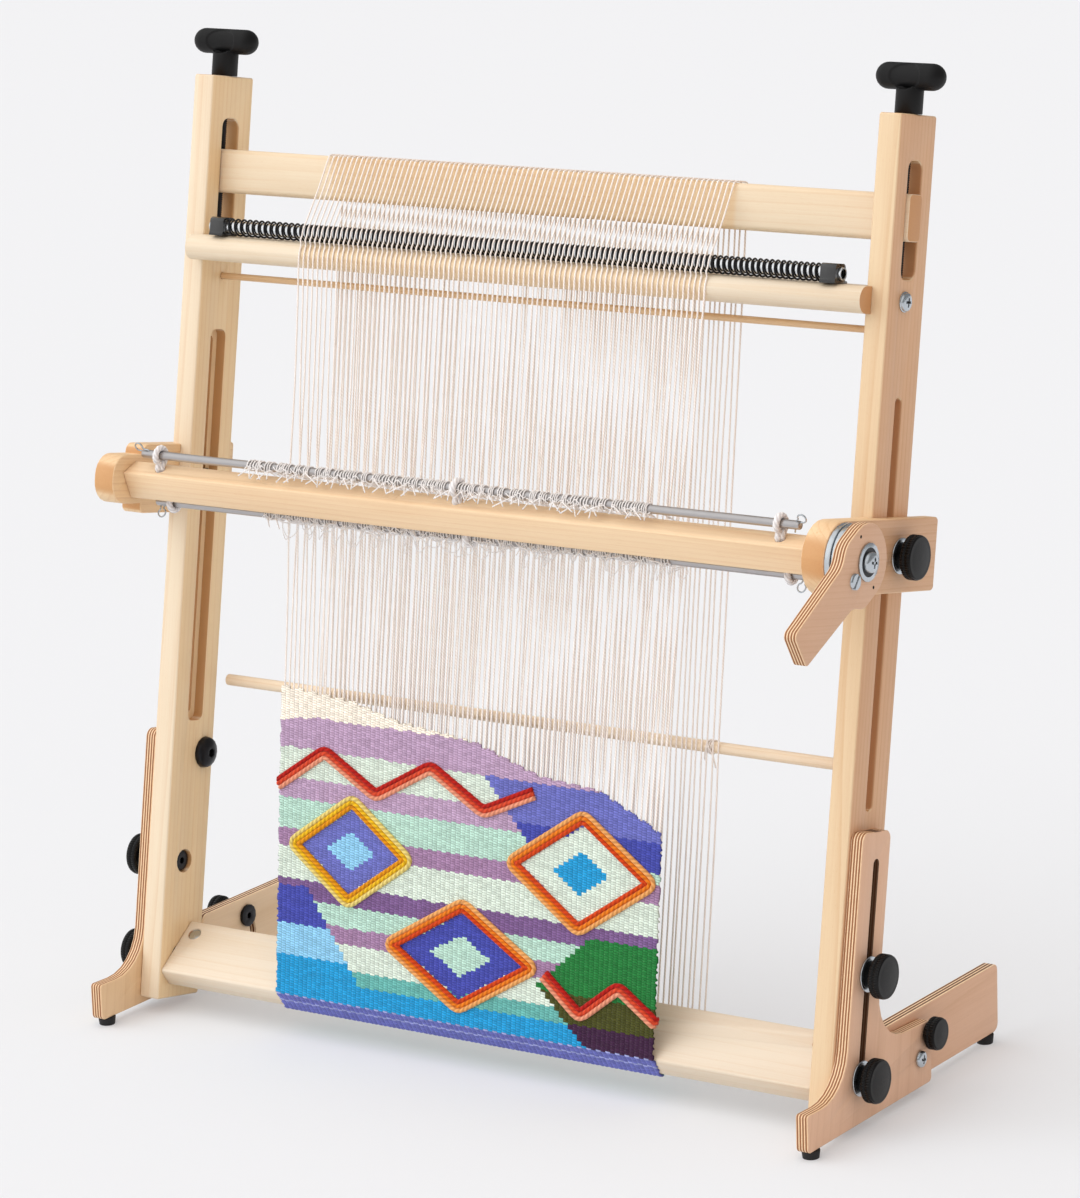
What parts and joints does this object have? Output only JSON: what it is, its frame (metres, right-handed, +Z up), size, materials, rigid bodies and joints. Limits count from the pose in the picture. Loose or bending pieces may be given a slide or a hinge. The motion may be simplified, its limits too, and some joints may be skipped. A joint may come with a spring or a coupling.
{
  "type": "tapestry loom",
  "caption": "Upright tapestry loom: leaning maple frame on plywood legs, screw-tensioned top beam, warp spacing spring, heddle bar with shed lever, part-woven cloth.",
  "frame": {"origin": "on the floor, under the centre of the bounding box", "axes": "+Z up, +X to the right of a weaver who faces the loom, +Y away from the weaver"},
  "size_m": [0.8404, 0.4156, 0.9226],
  "materials": {
    "maple": "satin oiled light maple",
    "plywood": "satin birch plywood",
    "zinc_steel": "bright zinc plate",
    "black_steel": "black oxide, semi-gloss",
    "black_plastic": "matte black",
    "rubber": "matte",
    "warp_yarn": "cotton thread",
    "woven_cloth": "weft-faced wool"
  },
  "bodies": {
    "frame": {"post_left": "maple", "post_right": "maple", "bottom_beam": "maple", "beam_bolt_left": "zinc_steel", "beam_bolt_right": "zinc_steel", "spacer_beam": "maple", "upper_dowel": "maple", "spacing_spring": "black_steel", "spring_tube": "zinc_steel", "spring_clip_left": "black_plastic", "spring_clip_right": "black_plastic", "dome_bolt_left": "black_steel", "dome_bolt_right": "black_steel", "leg_bolt_lower_left": "black_steel", "leg_bolt_lower_right": "black_steel", "leg_bolt_upper_left": "black_steel", "leg_bolt_upper_right": "black_steel", "warp_front": "warp_yarn", "warp_back": "warp_yarn", "tapestry": "woven_cloth", "warp_bar": "maple"},
    "top_beam": {"top_beam": "maple"},
    "tension_left": {"tension_rod_left": "black_steel", "tension_handle_left": "black_plastic"},
    "tension_right": {"tension_rod_right": "black_steel", "tension_handle_right": "black_plastic"},
    "heddle_carriage": {"heddle_arm_left": "maple", "heddle_arm_right": "maple", "arm_bolt_left": "black_steel", "arm_bolt_right": "black_steel", "bar_pin_left": "zinc_steel", "index_disc": "zinc_steel"},
    "arm_knob_left": {"arm_knob_left": "black_plastic"},
    "arm_knob_right": {"arm_knob_right": "black_plastic"},
    "shed_bar": {"heddle_bar": "maple", "heddle_rod_upper": "zinc_steel", "heddle_rod_lower": "zinc_steel", "clutch_disc": "zinc_steel", "shed_lever": "plywood", "shed_shaft": "zinc_steel", "heddles_upper": "warp_yarn", "heddles_lower": "warp_yarn"},
    "leg_left": {"leg_left": "plywood", "front_foot_left": "rubber", "rear_pivot_left": "zinc_steel", "rear_bolt_left": "black_steel"},
    "rear_leg_left": {"rear_leg_left": "plywood", "rear_foot_left": "rubber"},
    "rear_knob_left": {"rear_knob_left": "black_plastic"},
    "leg_knob_lower_left": {"leg_knob_lower_left": "black_plastic"},
    "leg_knob_upper_left": {"leg_knob_upper_left": "black_plastic"},
    "leg_right": {"leg_right": "plywood", "front_foot_right": "rubber", "rear_pivot_right": "zinc_steel", "rear_bolt_right": "black_steel"},
    "rear_leg_right": {"rear_leg_right": "plywood", "rear_foot_right": "rubber"},
    "rear_knob_right": {"rear_knob_right": "black_plastic"},
    "leg_knob_lower_right": {"leg_knob_lower_right": "black_plastic"},
    "leg_knob_upper_right": {"leg_knob_upper_right": "black_plastic"}
  },
  "joints": [
    {"name": "tension_handle_left_turn", "type": "hinge", "parent": "frame", "child": "tension_left", "pos_m": [-0.375, 0.08121, 0.87834], "axis": [0, -0.1771, -0.9842], "range_deg": [-5400, 4680]},
    {"name": "tension_handle_right_turn", "type": "hinge", "parent": "frame", "child": "tension_right", "pos_m": [0.3648, 0.08121, 0.87834], "axis": [0, -0.1771, -0.9842], "range_deg": [-5400, 4680]},
    {"name": "top_beam_lift", "type": "slide", "parent": "frame", "child": "top_beam", "axis": [0, 0.1771, 0.9842], "range_m": [-0.03, 0.026], "deforming": ["warp_back"]},
    {"name": "heddle_carriage_slide", "type": "slide", "parent": "frame", "child": "heddle_carriage", "axis": [0, 0.1771, 0.9842], "range_m": [-0.205, 0.125], "deforming": ["heddles_upper"]},
    {"name": "shed_lever_turn", "type": "hinge", "parent": "heddle_carriage", "child": "shed_bar", "pos_m": [-0.0051, -0.08658, 0.52039], "axis": [-1, 0, 0], "range_deg": [0, 60], "deforming": ["heddles_lower"]},
    {"name": "leg_left_slide", "type": "slide", "parent": "frame", "child": "leg_left", "axis": [0, -0.1771, -0.9842], "range_m": [0, 0.097]},
    {"name": "rear_leg_left_fold", "type": "hinge", "parent": "leg_left", "child": "rear_leg_left", "pos_m": [-0.3861, 0.03497, 0.0354], "axis": [1, 0, 0], "range_deg": [0, 90]},
    {"name": "rear_knob_left_turn", "type": "hinge", "parent": "leg_left", "child": "rear_knob_left", "pos_m": [-0.3994, 0.05177, 0.0555], "axis": [-1, 0, 0], "range_deg": [0, 720]},
    {"name": "leg_knob_lower_left_turn", "type": "hinge", "parent": "frame", "child": "leg_knob_lower_left", "pos_m": [-0.3994, -0.07122, 0.04953], "axis": [-1, 0, 0], "range_deg": [0, 720]},
    {"name": "leg_knob_upper_left_turn", "type": "hinge", "parent": "frame", "child": "leg_knob_upper_left", "pos_m": [-0.3994, -0.05481, 0.14077], "axis": [-1, 0, 0], "range_deg": [0, 720]},
    {"name": "arm_knob_left_turn", "type": "hinge", "parent": "heddle_carriage", "child": "arm_knob_left", "pos_m": [-0.3987, 0.01356, 0.50238], "axis": [-1, 0, 0], "range_deg": [0, 720]},
    {"name": "leg_right_slide", "type": "slide", "parent": "frame", "child": "leg_right", "axis": [0, -0.1771, -0.9842], "range_m": [0, 0.097]},
    {"name": "rear_leg_right_fold", "type": "hinge", "parent": "leg_right", "child": "rear_leg_right", "pos_m": [0.3759, 0.03497, 0.0354], "axis": [1, 0, 0], "range_deg": [0, 90]},
    {"name": "rear_knob_right_turn", "type": "hinge", "parent": "leg_right", "child": "rear_knob_right", "pos_m": [0.3892, 0.05177, 0.0555], "axis": [1, 0, 0], "range_deg": [0, 720]},
    {"name": "leg_knob_lower_right_turn", "type": "hinge", "parent": "frame", "child": "leg_knob_lower_right", "pos_m": [0.3892, -0.07122, 0.04953], "axis": [1, 0, 0], "range_deg": [0, 720]},
    {"name": "leg_knob_upper_right_turn", "type": "hinge", "parent": "frame", "child": "leg_knob_upper_right", "pos_m": [0.3892, -0.05481, 0.14077], "axis": [1, 0, 0], "range_deg": [0, 720]},
    {"name": "arm_knob_right_turn", "type": "hinge", "parent": "heddle_carriage", "child": "arm_knob_right", "pos_m": [0.3885, 0.01356, 0.50238], "axis": [1, 0, 0], "range_deg": [0, 720]}
  ],
  "couplings": [
    {"joint": "tension_handle_left_turn", "follows": "top_beam_lift", "rad_per_m": 3141.6},
    {"joint": "tension_handle_right_turn", "follows": "top_beam_lift", "rad_per_m": 3141.6},
    {"joint": "leg_left_slide", "follows": "leg_right_slide", "ratio": 1}
  ]
}
